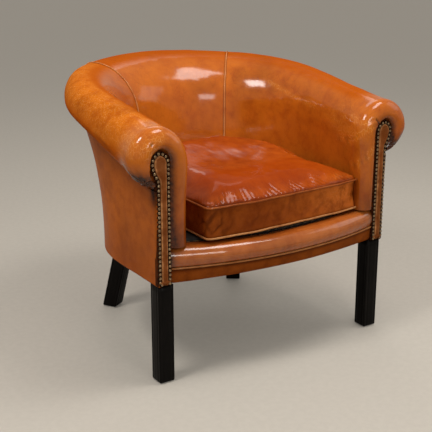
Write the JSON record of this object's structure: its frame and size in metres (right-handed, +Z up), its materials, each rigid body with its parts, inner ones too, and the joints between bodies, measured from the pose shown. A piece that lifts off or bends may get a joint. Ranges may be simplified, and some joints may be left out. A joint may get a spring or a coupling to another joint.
{
  "type": "tub armchair",
  "caption": "Low tub armchair with a rolled rim that wraps round the back, nail-trimmed arm fronts, a loose piped seat cushion and plain square legs.",
  "frame": {"origin": "on the floor below the middle of the chair", "axes": "+Z up, -Y towards the front, +X towards the right arm seen from the sitter's back"},
  "size_m": [0.8166, 0.7389, 0.715],
  "materials": {
    "ebonised_wood": "satin",
    "glide_metal": "polished",
    "steel": "plain",
    "frame_wood": "sawn",
    "hessian": "woven",
    "black_cloth": "matt",
    "foam": "matt",
    "nail_bronze": "antiqued",
    "piping_leather": "waxed",
    "seat_leather": "glossy",
    "boxing_leather": "waxed",
    "zip_tape": "woven",
    "zip_metal": "plain",
    "tan_leather": "antiqued, glossy"
  },
  "bodies": {
    "chair": {"front_leg_left": "ebonised_wood", "front_leg_right": "ebonised_wood", "rear_leg_left": "ebonised_wood", "rear_leg_right": "ebonised_wood", "foot_glides": "glide_metal", "leg_bolts": "steel", "front_rail": "frame_wood", "side_rail_left": "frame_wood", "side_rail_right": "frame_wood", "back_rail": "frame_wood", "corner_blocks": "frame_wood", "corner_screws": "steel", "arm_post_left": "frame_wood", "arm_post_right": "frame_wood", "arm_rail_left": "frame_wood", "arm_rail_right": "frame_wood", "back_top_rail": "frame_wood", "back_upright_left": "frame_wood", "back_upright_right": "frame_wood", "scroll_board_left": "frame_wood", "scroll_board_right": "frame_wood", "seat_springs": "steel", "spring_clips": "steel", "seat_hessian": "hessian", "deck_pad": "foam", "deck_cloth": "black_cloth", "back_hessian": "hessian", "outside_liner": "hessian", "arm_pad_left": "foam", "arm_pad_right": "foam", "back_pad": "foam", "scroll_pad_left": "foam", "scroll_pad_right": "foam", "front_edge_pad": "foam", "inside_arm_left": "tan_leather", "inside_arm_right": "tan_leather", "inside_back": "tan_leather", "outside_arm_left": "tan_leather", "outside_arm_right": "tan_leather", "outside_back": "tan_leather", "scroll_cover_left": "tan_leather", "scroll_cover_right": "tan_leather", "facing_left": "tan_leather", "facing_right": "tan_leather", "facing_nails_left": "nail_bronze", "facing_nails_right": "nail_bronze", "front_roll": "tan_leather", "front_border": "tan_leather", "front_welt": "piping_leather", "seam_welts": "piping_leather", "dust_cover": "black_cloth", "cover_tacks": "steel"},
    "cushion": {"cushion_core": "foam", "cushion_top": "seat_leather", "cushion_boxing": "boxing_leather", "cushion_bottom": "boxing_leather", "cushion_piping": "piping_leather", "cushion_zip": "zip_tape"},
    "zip_pull": {"zip_slider": "zip_metal"}
  },
  "joints": [
    {"name": "cushion_lift", "type": "slide", "parent": "chair", "child": "cushion", "axis": [0, 0, 1], "range_m": [0, 0.3]},
    {"name": "zip_travel", "type": "hinge", "parent": "cushion", "child": "zip_pull", "pos_m": [0.01133, -0.07401, 0.392], "axis": [0, 0, 1], "range_deg": [-27, 27]}
  ]
}
